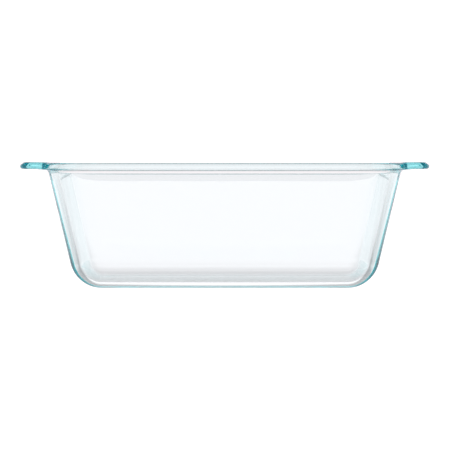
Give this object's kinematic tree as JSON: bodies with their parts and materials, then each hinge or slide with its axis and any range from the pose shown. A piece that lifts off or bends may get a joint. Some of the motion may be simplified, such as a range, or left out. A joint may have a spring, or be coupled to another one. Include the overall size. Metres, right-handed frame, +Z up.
{
  "type": "glass loaf dish",
  "caption": "Clear glass loaf dish with leaning walls, a rounded heel, a narrow flat rim and a tab handle at each end.",
  "frame": {"origin": "middle of the flat underside, on the surface that the dish stands on", "axes": "+X along the dish's length to the right handle, +Y across it to the back, +Z up to the rim"},
  "size_m": [0.254, 0.1398, 0.0786],
  "materials": {
    "clear_glass": "smooth fire-polished clear glass with a faint blue-green tint where it is seen through its thickness"
  },
  "bodies": {
    "root": {"floor": "clear_glass", "front_heel": "clear_glass", "back_heel": "clear_glass", "left_heel": "clear_glass", "right_heel": "clear_glass", "front_left_heel": "clear_glass", "front_right_heel": "clear_glass", "back_left_heel": "clear_glass", "back_right_heel": "clear_glass", "front_wall": "clear_glass", "back_wall": "clear_glass", "left_wall": "clear_glass", "right_wall": "clear_glass", "front_left_wall": "clear_glass", "front_right_wall": "clear_glass", "back_left_wall": "clear_glass", "back_right_wall": "clear_glass", "front_rim": "clear_glass", "back_rim": "clear_glass", "left_rim": "clear_glass", "right_rim": "clear_glass", "front_left_rim": "clear_glass", "front_right_rim": "clear_glass", "back_left_rim": "clear_glass", "back_right_rim": "clear_glass", "left_handle": "clear_glass", "right_handle": "clear_glass"}
  },
  "joints": []
}
